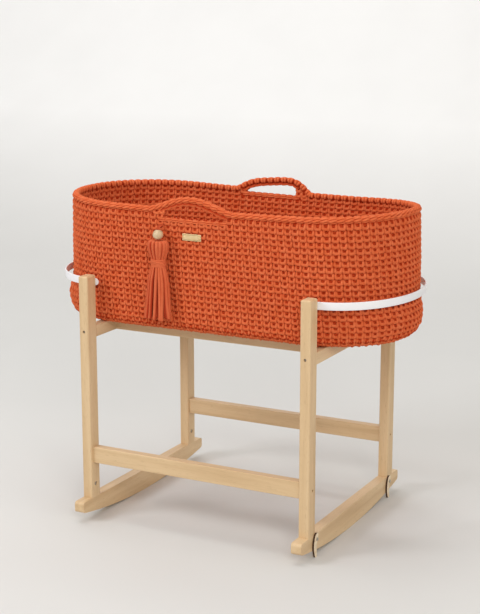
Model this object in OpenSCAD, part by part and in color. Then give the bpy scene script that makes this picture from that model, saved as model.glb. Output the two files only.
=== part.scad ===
// Bassinet on a rocking stand, in millimetres.
// +X runs to the right along the basket, +Y to the back, +Z up.
// The origin lies on the floor, under the middle of the stand.

/* [Stand] */
// Distance between leg centres, left to right
leg_span_x = 522; // [500:1:540]
// Distance between leg centres, front to back
leg_span_y = 429; // [425:1:450]
// Leg section, left to right
leg_w = 23; // [20:0.5:26]
// Leg section, front to back
leg_d = 33; // [30:0.5:38]
// Length of each leg
leg_l = 495; // [480:1:520]
// Rounding of the long wooden edges
edge_r = 3; // [1:0.5:4]
// Chamfer around each leg's top
leg_chamfer = 3; // [1:0.5:5]

/* [Rockers] */
// Length of each rocker, front to back
rocker_l = 530; // [500:2:560]
// Height of each rocker at its middle
rocker_h = 48; // [42:1:54]
// Radius that each rocker rolls on
rocker_r = 1450; // [1300:10:1700]
// Rounding of the rocker ends
rocker_end_r = 7; // [3:0.5:10]

/* [Rails] */
// Height of the two lower rails
lower_rail_h = 36; // [30:1:42]
// Thickness of the two lower rails
lower_rail_t = 20; // [16:1:22]
// Underside of the lower rails above the floor
lower_rail_z = 128; // [110:1:150]
// Lower rails' middle from the stand's middle, front to back
lower_rail_y = 213; // [211:0.5:215]
// Height of the rails that carry the basket
top_rail_h = 26; // [24:1:32]
// Thickness of the cross rails, which join the legs
top_rail_t = 21; // [18:1:22]
// Thickness of the support rails, which join the cross rails
support_rail_t = 20; // [16:1:22]
// Top of the rails that carry the basket
seat_z = 432; // [424:1:440]
// Support rails' middle from the stand's middle, front to back
support_rail_y = 107; // [90:1:120]

/* [Bands] */
// Height of the bent bands
band_h = 16; // [14:0.5:22]
// Thickness of the bent bands
band_t = 3; // [2:0.5:4]
// Underside of the bands above the floor
band_z = 519; // [510:1:522]
// Furthest reach of each band from the middle
band_reach = 410; // [408:0.5:418]
// Where each band starts to curve
band_bend_x = 265; // [262:1:270]
// Where each band's rounded end stops
band_tip_x = 243.5; // [236:0.5:246]

/* [Stoppers] */
// Thickness of the swivel stoppers
stopper_t = 4; // [3:0.5:6]
// Height of the stoppers' pivot above the floor
stopper_pivot_z = 38; // [36:0.5:40]
// Front stopper's pivot, front to back
front_stopper_y = -198; // [-206:1:-190]
// Back stopper's pivot, front to back
back_stopper_y = 203; // [190:1:206]

/* [Basket] */
// Basket length
basket_l = 803; // [796:1:804]
// Basket width, which is twice the radius of its round ends
basket_w = 368.8; // [360:0.2:370]
// Basket height to the top of the rim
basket_h = 267; // [240:1:280]
// Thickness of the crocheted wall
wall_t = 11; // [8:0.5:13]
// Rounding of the basket's bottom edge
bottom_r = 29; // [20:1:34]
// Height of the braided rim
rim_h = 15; // [12:0.5:18]
// Thickness of the braided rim
rim_t = 14; // [12:0.5:16]

/* [Handles] */
// Middle of the front handle, left to right
front_handle_x = -27; // [-40:1:30]
// Length of the front handle along the rim
front_handle_l = 194; // [180:1:200]
// Rise of the front handle above the rim
front_rise = 26; // [20:1:32]
// Middle of the front finger slot, left to right
front_slot_x = -20; // [-24:1:-16]
// Length of the front finger slot
front_slot_l = 150; // [130:1:156]
// Depth of the front slot's foot below the top of the rim
front_slot_drop = 22.5; // [20:0.5:25]
// Middle of the back handle, left to right
back_handle_x = -11; // [-30:1:30]
// Length of the back handle along the rim
back_handle_l = 186; // [176:1:196]
// Rise of the back handle above the rim, at its middle
back_rise = 28; // [24:1:32]
// Middle of the back finger slot, left to right
back_slot_x = -16.5; // [-20:0.5:-12]
// Length of the back finger slot
back_slot_l = 131; // [120:1:136]
// Depth of the back slot's foot below the top of the rim
back_slot_drop = 12; // [10:0.5:20]
// Height of the bars over the finger slots
bar_h = 20.5; // [18:0.5:22]

/* [Tassel and label] */
// Where the tassel hangs, left to right
tassel_x = -91; // [-120:1:-90]
// Height of the tassel's hanging point above the floor
tassel_z = 658.5; // [655:0.5:668]
// Width of the tassel's head
head_w = 50; // [40:1:56]
// Height of the tassel's head
head_h = 38; // [30:1:44]
// Width of the tassel's wrapped neck
wrap_w = 35; // [28:1:40]
// Height of the tassel's wrapped neck
wrap_h = 21; // [14:1:28]
// Width of the tassel's foot
skirt_w = 72; // [60:1:80]
// Height of the tassel's skirt
skirt_h = 111; // [80:1:120]
// Front-to-back thickness of the tassel
tassel_t = 28; // [20:1:32]
// Diameter of the wooden bead
bead_d = 22; // [18:0.5:24]
// Length of the label plate
label_l = 44; // [35:1:50]
// Height of the label plate
label_h = 14; // [12:0.5:20]
// Middle of the label plate, left to right
label_x = -20; // [-25:1:10]
// Middle of the label plate above the floor
label_z = 639; // [630:1:645]

/* [Bedding] */
// Thickness of the base board
board_t = 5; // [3:0.5:8]
// Thickness of the mattress
mattress_t = 45; // [30:1:60]

/* [Hidden] */

// Clearance between pieces that only rest on or near each other
gap = 0.3;
// Clearance of a screw, bolt, dowel or nut in its hole
fit_gap = 0.05;
// How far a cutting tool runs past the face it opens
over = 1;
rail_edge_r = edge_r - 1;
round_fn = 48;
wood = "BurlyWood";
ply = "NavajoWhite";
steel = "Silver";
white = "WhiteSmoke";
cord = "OrangeRed";

leg_x = leg_span_x / 2;
leg_y = leg_span_y / 2;
leg_in_x = leg_x - leg_w / 2;
leg_out_x = leg_x + leg_w / 2;
leg_in_y = leg_y - leg_d / 2;
leg_out_y = leg_y + leg_d / 2;
lower_rail_mid = lower_rail_z + lower_rail_h / 2;
support_end_x = leg_x - top_rail_t / 2;
top_rail_z = seat_z - top_rail_h;
top_rail_mid = seat_z - top_rail_h / 2;

// Screws: a flat head sunk below the surface, and a plain shank
screw_r = 2;
screw_head_r = 3.2;
screw_head_h = 3;
screw_sink = 3;
lower_screw_l = 60;
cross_screw_l = 62;
cross_screw_z = seat_z - 10;
// Dowels: dowel_in of the length is in the outer piece, and the holes run deeper at both ends
dowel_r = 3;
dowel_l = 37;
dowel_in = 9;
dowel_end_gap = 1;
dowel_bore_in = dowel_in + dowel_end_gap;
dowel_bore_l = dowel_l - dowel_in + dowel_end_gap + over;
lower_dowel_drop = 11;
cross_dowel_z = top_rail_z + 7;
support_dowel_step = 6.5;
// Bolts up through the rockers into barrel nuts across the legs
bolt_r = 3;
bolt_head_r = 5;
bolt_head_h = 5;
bolt_pocket_r = bolt_head_r + 0.5;
bolt_hex_r = 2.5;
bolt_hex_h = 3;
bolt_seat_z = 27;
bolt_top_z = 88;
nut_r = 5;
nut_l = 17;
nut_inset = 2;
nut_z = 78;
nut_slot_w = 1.4;
nut_slot_h = 1;
band_screw_z = band_z + band_h / 2;
band_screw_l = 18;
pan_head_r = 3.5;
pan_head_h = 1.6;
stopper_screw_l = 17;
stopper_bore_l = 16;

basket_r = basket_w / 2;
basket_c = basket_l / 2 - basket_r;
basket_z = seat_z + gap;
rim_top = basket_z + basket_h;
rim_z = rim_top - rim_h;
wall_in_r = basket_r - wall_t;
floor_t = 10;
rim_mid_r = basket_r - wall_t / 2;
rim_edge_r = rim_t / 2 - 1;
panel_drop = 20;
panel_z = rim_z - panel_drop;
handle_t = wall_t + 2;
front_slot_end_l = 12;
back_slot_end_l = 16;
// The back handle's arch is fuller than the front one's, and leans to the right
front_fullness = 1;
front_lean = 0;
back_fullness = 2.2;
back_lean = 0.375;

label_t = 1.2;
label_corner_r = 1.5;
label_y = -basket_r - gap - label_t;
rivet_r = 1.5;
rivet_head_r = 2.4;
rivet_head_h = 0.8;
rivet_l = 8;
rivet_x = label_l / 2 - 4;
// The tassel hangs clear of the wall, and its cord starts just off it
tassel_clear = 3;
tassel_y = -basket_r - tassel_clear - tassel_t / 2;
loop_clear = 4;
loop_root_y = -basket_r - loop_clear;
loop_r = 3;
loop_drop = 5;
bead_bore_r = 3;
bead_gap = 1;
head_top = tassel_z - loop_drop - bead_d - bead_gap;
head_top_w = 16;
shoulder_h = 9;
neck_h = 10;
wrap_top = head_top - head_h;
skirt_top = wrap_top - wrap_h;
skirt_bottom = skirt_top - skirt_h;
board_z = basket_z + floor_t + gap;
board_gap = 1;
board_r = basket_r - bottom_r - board_gap;
mattress_z = board_z + board_t + gap;
mattress_gap = 5;
mattress_r = wall_in_r - mattress_gap;
mattress_edge_r = 12;

module rounded_rect(size, r) {
  square([size.x - 2 * r, size.y], center = true);
  square([size.x, size.y - 2 * r], center = true);
  for (sx = [-1, 1], sy = [-1, 1])
    translate([sx * (size.x / 2 - r), sy * (size.y / 2 - r)])
      circle(r, $fn = round_fn);
}

// Bar along X, centred, with its four long edges rounded
module bar_x(l, t, h, r) {
  rotate([90, 0, 90])
    linear_extrude(l, center = true)
      rounded_rect([t, h], r);
}

// Bar along Y, centred, with its four long edges rounded
module bar_y(l, t, h, r) {
  rotate([90, 0, 0])
    linear_extrude(l, center = true)
      rounded_rect([t, h], r);
}

// Rod from the origin along +X times dir
module rod_x(r, l, dir) {
  rotate([0, 90 * dir, 0])
    cylinder(r = r, h = l, $fn = round_fn);
}

// Rod from the origin along +Y times dir
module rod_y(r, l, dir) {
  rotate([-90 * dir, 0, 0])
    cylinder(r = r, h = l, $fn = round_fn);
}

// A solid with a stadium plan: the 2D children are its half section, out from the long axis
module stadium_solid() {
  for (side = [0, 1])
    mirror([side, 0, 0])
      translate([basket_c, 0, 0])
        rotate([0, 0, -90])
          rotate_extrude(angle = 180, $fn = 2 * round_fn)
            children();
  for (side = [0, 1])
    mirror([0, side, 0])
      rotate([90, 0, 90])
        linear_extrude(2 * basket_c, center = true)
          children();
}

// Four chamfers around the top of a leg that stands on the XY plane
module leg_top_cut() {
  reach = leg_w + leg_d;
  for (side = [-1, 1]) {
    translate([side * leg_w / 2, 0, leg_l - leg_chamfer])
      rotate([0, 45 * side, 0])
        translate([0, 0, reach / 2])
          cube([2 * reach, 2 * reach, reach], center = true);
    translate([0, side * leg_d / 2, leg_l - leg_chamfer])
      rotate([-45 * side, 0, 0])
        translate([0, 0, reach / 2])
          cube([2 * reach, 2 * reach, reach], center = true);
  }
}

// Leg at the corner (sx, sy), drilled for its screws, dowels, bolt and nut
module leg(sx, sy) {
  color(wood)
    difference() {
      translate([sx * leg_x, sy * leg_y, rocker_h])
        difference() {
          linear_extrude(leg_l)
            rounded_rect([leg_w, leg_d], edge_r);
          leg_top_cut();
        }
      translate([sx * leg_out_x, sy * lower_rail_y, lower_rail_mid])
        screw_bore_x(-sx);
      translate([sx * leg_x, sy * leg_out_y, cross_screw_z])
        screw_bore_y(-sy);
      translate([sx * (leg_in_x + dowel_bore_in), sy * lower_rail_y, lower_rail_mid - lower_dowel_drop])
        rod_x(dowel_r, dowel_bore_in + over, -sx);
      translate([sx * leg_x, sy * (leg_in_y + dowel_bore_in), cross_dowel_z])
        rod_y(dowel_r, dowel_bore_in + over, -sy);
      translate([sx * leg_x, sy * leg_y, rocker_h - over])
        cylinder(r = bolt_r, h = bolt_top_z - rocker_h + 2 * over, $fn = round_fn);
      translate([sx * (leg_in_x - over), sy * leg_y, nut_z])
        rod_x(nut_r, nut_l + nut_inset + over, sx);
      translate([sx * leg_x, sy * (leg_in_y - over), band_screw_z])
        rod_y(screw_r, band_screw_l + over, sy);
    }
}

// Sunk screw hole that runs from the origin's face right through a leg
module screw_bore_x(dir) {
  translate([-dir * over, 0, 0])
    rod_x(screw_r, leg_w + 2 * over, dir);
  translate([-dir * over, 0, 0])
    rod_x(screw_head_r, screw_sink + screw_head_h + over, dir);
}

module screw_bore_y(dir) {
  translate([0, -dir * over, 0])
    rod_y(screw_r, leg_d + 2 * over, dir);
  translate([0, -dir * over, 0])
    rod_y(screw_head_r, screw_sink + screw_head_h + over, dir);
}

function arc(cx, cy, r, from, to, steps) =
  [for (i = [0:steps]) let (a = from + (to - from) * i / steps)
    [cx + r * cos(a), cy + r * sin(a)]];

// Side view of a rocker: flat top, rounded ends, and a rolling edge with a flat at its middle
module rocker_outline() {
  end_y = rocker_l / 2;
  half_angle = asin((end_y - rocker_end_r) / rocker_r);
  end_z = rocker_r * (1 - cos(half_angle));
  steps = 45;
  polygon(concat(
    arc(0, rocker_r, rocker_r / cos(half_angle / steps), 270 - half_angle, 270 + half_angle, steps),
    arc(end_y - rocker_end_r, end_z + rocker_end_r, rocker_end_r, -60, 0, 6),
    arc(end_y - rocker_end_r, rocker_h - rocker_end_r, rocker_end_r, 0, 90, 8),
    arc(-end_y + rocker_end_r, rocker_h - rocker_end_r, rocker_end_r, 90, 180, 8),
    arc(-end_y + rocker_end_r, end_z + rocker_end_r, rocker_end_r, 180, 240, 6)));
}

module rocker(sx) {
  color(wood)
    difference() {
      translate([sx * leg_x, 0, 0])
        rotate([90, 0, 90])
          linear_extrude(leg_w, center = true)
            rocker_outline();
      for (sy = [-1, 1])
        translate([sx * leg_x, sy * leg_y, 0]) {
          cylinder(r = bolt_r, h = rocker_h + over, $fn = round_fn);
          cylinder(r = bolt_pocket_r, h = bolt_seat_z, $fn = round_fn);
        }
      if (sx > 0)
        for (y = [front_stopper_y, back_stopper_y])
          translate([leg_out_x + over, y, stopper_pivot_z])
            rod_x(screw_r, stopper_bore_l + over, -1);
    }
}

module lower_rail(sy) {
  rail_l = 2 * leg_in_x;
  color(wood)
    difference() {
      translate([0, sy * lower_rail_y, lower_rail_mid])
        bar_x(rail_l, lower_rail_t, lower_rail_h, rail_edge_r);
      for (sx = [-1, 1]) {
        translate([sx * (leg_in_x + over), sy * lower_rail_y, lower_rail_mid])
          rod_x(screw_r, lower_screw_l, -sx);
        translate([sx * (leg_in_x + over), sy * lower_rail_y, lower_rail_mid - lower_dowel_drop])
          rod_x(dowel_r, dowel_bore_l, -sx);
      }
    }
}

module cross_rail(sx) {
  rail_l = 2 * leg_in_y;
  color(wood)
    difference() {
      translate([sx * leg_x, 0, top_rail_mid])
        bar_y(rail_l, top_rail_t, top_rail_h, rail_edge_r);
      for (sy = [-1, 1]) {
        translate([sx * leg_x, sy * (leg_in_y + over), cross_screw_z])
          rod_y(screw_r, cross_screw_l, -sy);
        translate([sx * leg_x, sy * (leg_in_y + over), cross_dowel_z])
          rod_y(dowel_r, dowel_bore_l, -sy);
        for (step = [-1, 1])
          translate([sx * (support_end_x - over), sy * support_rail_y,
            top_rail_mid + step * support_dowel_step])
            rod_x(dowel_r, dowel_bore_in + over, sx);
      }
    }
}

module support_rail(sy) {
  color(wood)
    difference() {
      translate([0, sy * support_rail_y, top_rail_mid])
        bar_x(2 * support_end_x, support_rail_t, top_rail_h, rail_edge_r);
      for (sx = [-1, 1], step = [-1, 1])
        translate([sx * (support_end_x + over), sy * support_rail_y,
          top_rail_mid + step * support_dowel_step])
          rod_x(dowel_r, dowel_bore_l, -sx);
    }
}

// Plan of a band's outer or inner edge, from the front tip round to the back tip
function band_edge(inset, steps) =
  concat([[band_tip_x, -leg_in_y + inset]],
    [for (i = [0:steps]) let (a = -90 + 180 * i / steps)
      [band_bend_x + (band_reach - inset - band_bend_x) * cos(a), (leg_in_y - inset) * sin(a)]],
    [[band_tip_x, leg_in_y - inset]]);

function reversed(points) = [for (i = [len(points) - 1:-1:0]) points[i]];

// Bent strip that holds one end of the basket, screwed to the legs' inner faces
module band(sx) {
  end_r = band_h / 2;
  tool_t = 4 * band_t;
  steps = 80;
  color(white)
    mirror([sx < 0 ? 1 : 0, 0, 0])
      difference() {
        translate([0, 0, band_z])
          linear_extrude(band_h)
            polygon(concat(band_edge(0, steps), reversed(band_edge(band_t, steps))));
        for (sy = [-1, 1])
          translate([0, sy * leg_in_y, band_screw_z]) {
            difference() {
              translate([band_tip_x, 0, 0])
                cube([2 * end_r, tool_t, band_h + 2 * over], center = true);
              translate([band_tip_x + end_r, tool_t, 0])
                rod_y(end_r, 2 * tool_t, -1);
            }
            translate([leg_x, -tool_t / 2, 0])
              rod_y(screw_r, tool_t, 1);
          }
      }
}

// Screw with its head's outer face at the origin, running along X or Y
module sunk_screw(l) {
  cylinder(r = screw_head_r - fit_gap, h = screw_head_h - fit_gap, $fn = round_fn);
  cylinder(r = screw_r - fit_gap, h = l, $fn = round_fn);
}

module lower_rail_screws() {
  color(steel)
    for (sx = [-1, 1], sy = [-1, 1])
      translate([sx * (leg_out_x - screw_sink), sy * lower_rail_y, lower_rail_mid])
        rotate([0, -90 * sx, 0])
          sunk_screw(lower_screw_l);
}

module cross_rail_screws() {
  color(steel)
    for (sx = [-1, 1], sy = [-1, 1])
      translate([sx * leg_x, sy * (leg_out_y - screw_sink), cross_screw_z])
        rotate([90 * sy, 0, 0])
          sunk_screw(cross_screw_l);
}

module rail_dowels() {
  color(wood)
    for (sx = [-1, 1], sy = [-1, 1]) {
      translate([sx * (leg_in_x + dowel_in), sy * lower_rail_y, lower_rail_mid - lower_dowel_drop])
        rod_x(dowel_r - fit_gap, dowel_l, -sx);
      translate([sx * leg_x, sy * (leg_in_y + dowel_in), cross_dowel_z])
        rod_y(dowel_r - fit_gap, dowel_l, -sy);
      for (step = [-1, 1])
        translate([sx * (support_end_x + dowel_in), sy * support_rail_y,
          top_rail_mid + step * support_dowel_step])
          rod_x(dowel_r - fit_gap, dowel_l, -sx);
    }
}

module rocker_bolts() {
  color(steel)
    for (sx = [-1, 1], sy = [-1, 1])
      translate([sx * leg_x, sy * leg_y, bolt_seat_z - bolt_head_h - fit_gap])
        difference() {
          union() {
            cylinder(r = bolt_head_r, h = bolt_head_h, $fn = round_fn);
            cylinder(r = bolt_r - fit_gap, h = bolt_top_z - bolt_seat_z + bolt_head_h, $fn = round_fn);
          }
          translate([0, 0, -over])
            cylinder(r = bolt_hex_r, h = bolt_hex_h + over, $fn = 6);
        }
}

module barrel_nuts() {
  color(steel)
    for (sx = [-1, 1], sy = [-1, 1])
      difference() {
        translate([sx * (leg_in_x + nut_inset), sy * leg_y, nut_z])
          rod_x(nut_r - fit_gap, nut_l - fit_gap, sx);
        translate([sx * leg_x, sy * leg_y, nut_z - nut_r - over])
          cylinder(r = bolt_r, h = 2 * nut_r + 2 * over, $fn = round_fn);
        translate([sx * (leg_in_x + nut_inset - over), sy * leg_y, nut_z])
          rotate([0, 90 * sx, 0])
            translate([-nut_slot_w / 2, -nut_r, 0])
              cube([nut_slot_w, 2 * nut_r, nut_slot_h + over]);
      }
}

module band_screws() {
  color(steel)
    for (sx = [-1, 1], sy = [-1, 1])
      translate([sx * leg_x, sy * (leg_in_y - band_t - pan_head_h), band_screw_z]) {
        rod_y(pan_head_r, pan_head_h, sy);
        rod_y(screw_r - fit_gap, band_screw_l, sy);
      }
}

module stopper_screws() {
  color(steel)
    for (y = [front_stopper_y, back_stopper_y])
      translate([leg_out_x + 2 * gap + stopper_t + pan_head_h, y, stopper_pivot_z]) {
        rod_x(pan_head_r, pan_head_h, -1);
        rod_x(screw_r - fit_gap, stopper_screw_l, -1);
      }
}

// Claw-shaped swivel plate: its toe reaches the floor under the pivot
module stopper_outline() {
  burnt_edge = arc(30, -14, 44, 145, 213, 14);
  toe = [[-6.5, -stopper_pivot_z], [0, -stopper_pivot_z]];
  hollow_edge = arc(49, -22, 50, 197, 151, 12);
  round_top = arc(0, 4, 9, 30, 120, 8);
  difference() {
    polygon(concat(burnt_edge, toe, hollow_edge, round_top));
    circle(screw_r + fit_gap, $fn = round_fn);
  }
}

module stopper(y) {
  color(ply)
    translate([leg_out_x + gap, y, stopper_pivot_z])
      rotate([90, 0, 90])
        linear_extrude(stopper_t)
          stopper_outline();
}

// Half section of the wall: upright, then round to the flat bottom
module wall_section() {
  corner_z = basket_z + bottom_r;
  translate([wall_in_r, corner_z])
    square([wall_t, rim_z - corner_z]);
  translate([basket_r - bottom_r, corner_z])
    intersection() {
      difference() {
        circle(bottom_r, $fn = 2 * round_fn);
        circle(bottom_r - wall_t, $fn = 2 * round_fn);
      }
      translate([0, -bottom_r])
        square(bottom_r);
    }
}

// Rectangle in the long walls that a handle panel fills
module panel_block(x, length, side) {
  translate([x - length / 2, side * rim_mid_r - rim_t, panel_z])
    cube([length, 2 * rim_t, basket_h]);
}

module basket_wall() {
  color(cord)
    difference() {
      stadium_solid()
        wall_section();
      panel_block(front_handle_x, front_handle_l, -1);
      panel_block(back_handle_x, back_handle_l, 1);
    }
}

module basket_floor() {
  color(cord)
    translate([0, 0, basket_z])
      linear_extrude(floor_t)
        stadium(basket_r - bottom_r);
}

module stadium(r) {
  square([2 * basket_c, 2 * r], center = true);
  for (side = [-1, 1])
    translate([side * basket_c, 0])
      circle(r, $fn = 2 * round_fn);
}

// The part of the braided rim on one side of the handles
module rim_braid(sx) {
  color(cord)
    difference() {
      stadium_solid()
        translate([rim_mid_r, rim_z + rim_h / 2])
          rounded_rect([rim_t, rim_h], rim_edge_r);
      panel_block(front_handle_x, front_handle_l, -1);
      panel_block(back_handle_x, back_handle_l, 1);
      translate([-sx * basket_l / 2, 0, rim_top])
        cube(basket_l, center = true);
    }
}

// Height of a handle's arch above the rim, as a share of its rise, at a share t of its half length
function arch(t, fullness, lean) =
  pow(cos(90 * pow(abs(t), fullness)), 1.35) * (1 + lean * t);

// How far a slot is open at a distance from its nearer end, as a share, with a round end that long
function opening(from_end, end_l) =
  from_end < end_l ? sqrt(1 - pow(1 - from_end / end_l, 2)) : 1;

// Upright panel with an arched bar over its finger slot
module handle_outline(half, rise, fullness, lean, slot_mid, slot_half, slot_z, end_l) {
  steps = 28;
  difference() {
    polygon(concat([[-half, panel_z], [half, panel_z]],
      [for (i = [0:steps]) let (t = 1 - 2 * i / steps)
        [half * t, rim_top + rise * arch(t, fullness, lean)]]));
    polygon(concat([[slot_mid - slot_half, slot_z], [slot_mid + slot_half, slot_z]],
      [for (i = [1:steps - 1])
        let (t = cos(180 * i / steps),
             x = slot_mid + slot_half * t,
             bar_z = rim_top + rise * arch(x / half, fullness, lean) - bar_h)
        [x, slot_z + (bar_z - slot_z) * opening(slot_half * (1 - abs(t)), end_l)]]));
  }
}

module handle_panel(x, side) {
  color(cord)
    translate([x, side * rim_mid_r, 0])
      rotate([90, 0, 0])
        linear_extrude(handle_t, center = true)
          children();
}

module front_handle() {
  handle_panel(front_handle_x, -1)
    handle_outline(front_handle_l / 2, front_rise, front_fullness, front_lean,
      front_slot_x - front_handle_x, front_slot_l / 2, rim_top - front_slot_drop, front_slot_end_l);
}

module back_handle() {
  handle_panel(back_handle_x, 1)
    handle_outline(back_handle_l / 2, back_rise, back_fullness, back_lean,
      back_slot_x - back_handle_x, back_slot_l / 2, rim_top - back_slot_drop, back_slot_end_l);
}

module label_plate() {
  color("Goldenrod")
    translate([label_x, label_y, label_z])
      rotate([-90, 0, 0])
        difference() {
          linear_extrude(label_t)
            rounded_rect([label_l, label_h], label_corner_r);
          for (side = [-1, 1])
            translate([side * rivet_x, 0, -over])
              cylinder(r = rivet_r + fit_gap, h = label_t + 2 * over, $fn = round_fn);
        }
}

module label_rivets() {
  color("Gold")
    for (side = [-1, 1])
      translate([label_x + side * rivet_x, label_y - rivet_head_h, label_z]) {
        rod_y(rivet_head_r, rivet_head_h, 1);
        rod_y(rivet_r, rivet_l, 1);
      }
}

// Cord loop: a bight that leaves the wall, and a doubled strand down to the bead
module tassel_loop() {
  color(cord) {
    translate([tassel_x, loop_root_y, tassel_z])
      rod_y(loop_r, loop_root_y - tassel_y + loop_r, -1);
    translate([tassel_x, tassel_y, tassel_z - loop_drop])
      cylinder(r = loop_r, h = loop_drop, $fn = round_fn);
  }
}

module tassel_bead() {
  color("Peru")
    translate([tassel_x, tassel_y, tassel_z - loop_drop - bead_d / 2 - gap])
      difference() {
        sphere(d = bead_d, $fn = round_fn);
        cylinder(r = bead_bore_r, h = bead_d, center = true, $fn = round_fn);
      }
}

// Slab of tassel between two heights, extruded through its thickness
module tassel_slab(points) {
  color(cord)
    translate([tassel_x, tassel_y, 0])
      rotate([90, 0, 0])
        linear_extrude(tassel_t, center = true)
          polygon(points);
}

module tassel_head() {
  half_outline = [[head_top_w / 2, head_top], [head_w / 2, head_top - shoulder_h],
    [head_w / 2, wrap_top + neck_h], [wrap_w / 2, wrap_top]];
  tassel_slab(concat(half_outline, [for (p = reversed(half_outline)) [-p.x, p.y]]));
}

module tassel_wrap() {
  tassel_slab([[-wrap_w / 2, wrap_top], [-wrap_w / 2, skirt_top],
    [wrap_w / 2, skirt_top], [wrap_w / 2, wrap_top]]);
}

module tassel_skirt() {
  tassel_slab([[-wrap_w / 2, skirt_top], [-skirt_w / 2, skirt_bottom],
    [skirt_w / 2, skirt_bottom], [wrap_w / 2, skirt_top]]);
}

module base_board() {
  color(ply)
    translate([0, 0, board_z])
      linear_extrude(board_t)
        stadium(board_r);
}

module mattress() {
  color("Ivory")
    stadium_solid()
      translate([0, mattress_z]) {
        square([mattress_r - mattress_edge_r, mattress_t]);
        translate([0, mattress_edge_r])
          square([mattress_r, mattress_t - 2 * mattress_edge_r]);
        for (z = [mattress_edge_r, mattress_t - mattress_edge_r])
          translate([mattress_r - mattress_edge_r, z])
            circle(mattress_edge_r, $fn = round_fn);
      }
}

leg(-1, -1);  // front_left_leg
leg(1, -1);  // front_right_leg
leg(-1, 1);  // back_left_leg
leg(1, 1);  // back_right_leg
rocker(-1);  // left_rocker
rocker(1);  // right_rocker
lower_rail(-1);  // front_lower_rail
lower_rail(1);  // back_lower_rail
cross_rail(-1);  // left_cross_rail
cross_rail(1);  // right_cross_rail
support_rail(-1);  // front_support_rail
support_rail(1);  // back_support_rail
band(-1);  // left_band
band(1);  // right_band
lower_rail_screws();
cross_rail_screws();
rail_dowels();
rocker_bolts();
barrel_nuts();
band_screws();
stopper_screws();
stopper(front_stopper_y);  // front_stopper
stopper(back_stopper_y);  // back_stopper
basket_wall();
basket_floor();
rim_braid(-1);  // left_rim_braid
rim_braid(1);  // right_rim_braid
front_handle();
back_handle();
label_plate();
label_rivets();
tassel_loop();
tassel_bead();
tassel_head();
tassel_wrap();
tassel_skirt();
base_board();
mattress();
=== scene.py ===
"""Looks of the bassinet on its rocking stand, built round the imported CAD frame, in metres."""
import math

import bpy
import numpy as np
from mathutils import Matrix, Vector


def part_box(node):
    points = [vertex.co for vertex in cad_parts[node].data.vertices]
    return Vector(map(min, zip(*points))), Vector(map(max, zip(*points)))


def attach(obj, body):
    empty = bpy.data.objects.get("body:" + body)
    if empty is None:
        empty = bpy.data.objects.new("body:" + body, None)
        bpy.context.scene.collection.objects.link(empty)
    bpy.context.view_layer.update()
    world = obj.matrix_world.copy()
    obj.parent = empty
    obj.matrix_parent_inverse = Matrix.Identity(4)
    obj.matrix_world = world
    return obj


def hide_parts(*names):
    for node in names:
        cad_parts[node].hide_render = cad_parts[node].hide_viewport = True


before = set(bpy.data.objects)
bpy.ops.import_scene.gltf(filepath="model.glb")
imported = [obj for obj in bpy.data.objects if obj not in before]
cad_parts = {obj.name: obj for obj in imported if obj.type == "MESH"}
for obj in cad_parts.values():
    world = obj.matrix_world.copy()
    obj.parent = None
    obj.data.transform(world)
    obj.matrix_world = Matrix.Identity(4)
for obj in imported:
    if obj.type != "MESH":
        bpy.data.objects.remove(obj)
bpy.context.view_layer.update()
MM = 0.001

# ---- camera

VIEW_TARGET = Vector((-0.002, -0.004, 0.459))
VIEW_DISTANCE = 3.128
VIEW_AZIMUTH = math.radians(27.49)
VIEW_ELEVATION = math.radians(12.44)
VIEW_LENS = 83.64


def make_camera():
    data = bpy.data.cameras.new("camera")
    data.lens = VIEW_LENS
    camera = bpy.data.objects.new("camera", data)
    bpy.context.scene.collection.objects.link(camera)
    back = Vector((
        math.sin(VIEW_AZIMUTH) * math.cos(VIEW_ELEVATION),
        -math.cos(VIEW_AZIMUTH) * math.cos(VIEW_ELEVATION),
        math.sin(VIEW_ELEVATION),
    ))
    camera.location = VIEW_TARGET + VIEW_DISTANCE * back
    camera.rotation_euler = (-back).to_track_quat("-Z", "Y").to_euler()
    bpy.context.scene.camera = camera


make_camera()

# ---- sizes from the frame

wall_low, wall_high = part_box("basket_wall")
floor_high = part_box("basket_floor")[1]
mattress_low, mattress_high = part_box("mattress")
BASKET_Z = wall_low.z
RIM_Z = wall_high.z
RIM_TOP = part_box("right_rim_braid")[1].z
BASKET_R = wall_high.y
BASKET_C = wall_high.x - BASKET_R
BOTTOM_R = wall_high.x - floor_high.x
WALL_T = 11 * MM
PERIMETER = 4 * BASKET_C + 2 * math.pi * BASKET_R
# Length of the wall's profile, from the rim down and round the bottom edge
PROFILE_L = RIM_Z - BASKET_Z - BOTTOM_R + BOTTOM_R * math.pi / 2

# Crochet gauge: width and height of one stitch, and how far each row leans past the one above it
STITCHES = 124
STITCH_W = PERIMETER / STITCHES
ROW_H = 12.1 * MM
ROW_LEAN = 1.2 * MM
# The inside has fewer stitches round it, and its rows start higher and stand further out
INNER_STITCHES = 118
INNER_RAISE = 4.7 * MM
INNER_LIFT = 0.8 * MM

rng = np.random.default_rng(7)

# ---- mesh helpers


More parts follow.
